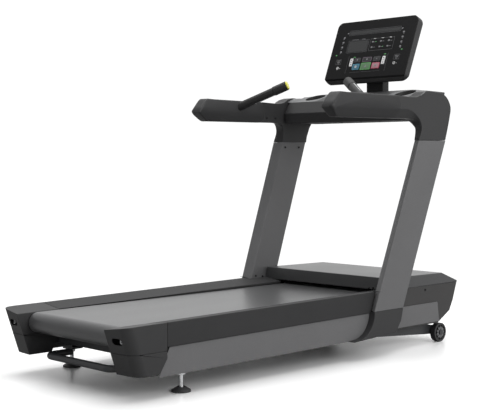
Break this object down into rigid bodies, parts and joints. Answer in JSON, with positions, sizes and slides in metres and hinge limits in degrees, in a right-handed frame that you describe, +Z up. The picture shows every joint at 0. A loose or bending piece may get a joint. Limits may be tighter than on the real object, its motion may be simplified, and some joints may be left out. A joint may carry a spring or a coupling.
{
  "type": "treadmill",
  "caption": "Commercial motorised treadmill with leaning uprights, handrails, tilted console, angled pulse grips, cup holders, power incline and levelling rear feet.",
  "frame": {"origin": "on the floor, in the middle of the machine's length and width", "axes": "+X the way the runner faces, towards the motor hood; +Y the runner's left; +Z up"},
  "size_m": [2.0603, 0.9322, 1.561],
  "materials": {
    "frame_black": "satin black powder coat",
    "deck_board": "waxed board",
    "rubber_black": "matte moulded rubber",
    "belt_grey": "fine woven running belt",
    "steel": "turned steel",
    "motor_paint": "painted motor housing",
    "heatsink": "extruded",
    "cover_black": "fine-textured moulding",
    "panel_grey": "satin grey paint",
    "hood_grey": "satin moulding",
    "post_grey": "satin grey powder coat",
    "cup_silver": "satin moulding",
    "plate_chrome": "polished",
    "cap_yellow": "moulded cap",
    "console_gloss": "gloss black panel",
    "display_glass": "dark display window",
    "screw_black": "black oxide",
    "switch_red": "moulded rocker",
    "wheel_black": "hard rubber",
    "foot_steel": "rubber pad, bright stud",
    "key_blue": "membrane key",
    "key_green": "membrane key",
    "key_red": "membrane key",
    "key_dark": "membrane key",
    "key_mauve": "membrane key",
    "rocker_white": "moulded rocker"
  },
  "bodies": {
    "frame": {"frame_rails": "frame_black", "frame_cross_members": "frame_black", "rear_lift_bar": "frame_black", "running_deck": "deck_board", "deck_cushions": "rubber_black", "walking_belt": "belt_grey", "roller_axles": "steel", "belt_adjusting_bolts": "steel", "drive_motor": "motor_paint", "motor_controller": "heatsink", "power_inlet": "cover_black", "side_cover_left": "cover_black", "side_cover_right": "cover_black", "side_panels": "panel_grey", "rear_cap_upper_left": "cover_black", "rear_cap_upper_right": "cover_black", "rear_caps_lower": "cover_black", "motor_hood": "hood_grey", "front_covers": "cover_black", "front_panels": "panel_grey", "upright_left": "post_grey", "upright_right": "post_grey", "upright_boots": "cover_black", "handrail_left": "cover_black", "handrail_right": "cover_black", "handrail_grips": "rubber_black", "dash_top": "cover_black", "dash_bottom": "cover_black", "console_crossbar": "frame_black", "cup_holders": "cup_silver", "pulse_grips": "rubber_black", "pulse_plates": "plate_chrome", "grip_end_caps": "cap_yellow", "console_neck": "cover_black", "console_back": "cover_black", "console_face": "console_gloss", "console_display": "display_glass", "cover_screws": "screw_black", "drive_belt": "rubber_black"},
    "power_switch": {"power_switch": "switch_red"},
    "front_roller": {"front_roller": "steel", "front_roller_bearings": "steel"},
    "rear_roller": {"rear_roller": "steel", "rear_roller_bearings": "steel"},
    "motor_rotor": {"motor_rotor": "steel"},
    "lift_frame": {"lift_frame": "frame_black"},
    "front_wheel_left": {"front_wheel_left": "wheel_black"},
    "front_wheel_right": {"front_wheel_right": "wheel_black"},
    "lift_motor": {"lift_motor": "motor_paint"},
    "lift_ram": {"lift_ram": "steel"},
    "foot_left": {"foot_left": "foot_steel"},
    "foot_right": {"foot_right": "foot_steel"},
    "key_mode": {"key_mode": "key_blue"},
    "key_start": {"key_start": "key_green"},
    "key_stop": {"key_stop": "key_red"},
    "key_cool": {"key_cool": "key_dark"},
    "key_select": {"key_select": "key_mauve"},
    "key_fan": {"key_fan": "key_dark"},
    "incline_rocker": {"incline_rocker": "rocker_white"},
    "speed_rocker": {"speed_rocker": "rocker_white"}
  },
  "joints": [
    {"name": "motor_spin", "type": "hinge", "parent": "frame", "child": "motor_rotor", "pos_m": [0.8, 0, 0.2], "axis": [0, 1, 0], "continuous": true},
    {"name": "front_roller_spin", "type": "hinge", "parent": "frame", "child": "front_roller", "pos_m": [0.576, 0, 0.2211], "axis": [0, 1, 0], "continuous": true},
    {"name": "rear_roller_spin", "type": "hinge", "parent": "frame", "child": "rear_roller", "pos_m": [-0.939, 0, 0.2211], "axis": [0, 1, 0], "continuous": true},
    {"name": "incline", "type": "hinge", "parent": "frame", "child": "lift_frame", "pos_m": [0.4, 0, 0.095], "axis": [0, 1, 0], "range_deg": [0, 12]},
    {"name": "lift_motor_tilt", "type": "hinge", "parent": "frame", "child": "lift_motor", "pos_m": [0.72, -0.17, 0.27], "axis": [0, 1, 0], "range_deg": [-5, 0]},
    {"name": "lift_ram_slide", "type": "slide", "parent": "lift_motor", "child": "lift_ram", "axis": [-0.6854, 0, -0.7282], "range_m": [0, 0.028]},
    {"name": "front_wheel_left_spin", "type": "hinge", "parent": "lift_frame", "child": "front_wheel_left", "pos_m": [0.899, 0.35, 0.045], "axis": [0, 1, 0], "continuous": true},
    {"name": "front_wheel_right_spin", "type": "hinge", "parent": "lift_frame", "child": "front_wheel_right", "pos_m": [0.899, -0.35, 0.045], "axis": [0, 1, 0], "continuous": true},
    {"name": "foot_left_adjust", "type": "slide", "parent": "frame", "child": "foot_left", "axis": [0, 0, -1], "range_m": [0, 0.012]},
    {"name": "foot_right_adjust", "type": "slide", "parent": "frame", "child": "foot_right", "axis": [0, 0, -1], "range_m": [0, 0.012]},
    {"name": "power_switch_rock", "type": "hinge", "parent": "frame", "child": "power_switch", "pos_m": [0.984, 0.242, 0.227], "axis": [0, 1, 0], "range_deg": [0, 12]},
    {"name": "key_mode_press", "type": "slide", "parent": "frame", "child": "key_mode", "axis": [0.9304, 0, -0.3665], "range_m": [0, 0.0012], "stiffness_N_per_m": 1500},
    {"name": "key_start_press", "type": "slide", "parent": "frame", "child": "key_start", "axis": [0.9304, 0, -0.3665], "range_m": [0, 0.0012], "stiffness_N_per_m": 1500},
    {"name": "key_stop_press", "type": "slide", "parent": "frame", "child": "key_stop", "axis": [0.9304, 0, -0.3665], "range_m": [0, 0.0012], "stiffness_N_per_m": 1500},
    {"name": "key_cool_press", "type": "slide", "parent": "frame", "child": "key_cool", "axis": [0.9304, 0, -0.3665], "range_m": [0, 0.0012], "stiffness_N_per_m": 1500},
    {"name": "key_select_press", "type": "slide", "parent": "frame", "child": "key_select", "axis": [0.9304, 0, -0.3665], "range_m": [0, 0.0012], "stiffness_N_per_m": 1500},
    {"name": "key_fan_press", "type": "slide", "parent": "frame", "child": "key_fan", "axis": [0.9304, 0, -0.3665], "range_m": [0, 0.0012], "stiffness_N_per_m": 1500},
    {"name": "incline_rocker_tilt", "type": "hinge", "parent": "frame", "child": "incline_rocker", "pos_m": [0.79343, 0.102, 1.34834], "axis": [0, 1, 0], "range_deg": [-3, 3], "stiffness_Nm_per_rad": 0.5},
    {"name": "speed_rocker_tilt", "type": "hinge", "parent": "frame", "child": "speed_rocker", "pos_m": [0.79343, -0.102, 1.34834], "axis": [0, 1, 0], "range_deg": [-3, 3], "stiffness_Nm_per_rad": 0.5}
  ],
  "couplings": [
    {"joint": "front_roller_spin", "follows": "motor_spin", "ratio": 0.56446},
    {"joint": "rear_roller_spin", "follows": "motor_spin", "ratio": 0.56446},
    {"joint": "lift_motor_tilt", "follows": "incline", "ratio": -0.387},
    {"joint": "lift_ram_slide", "follows": "incline", "m_per_rad": 0.1284}
  ]
}
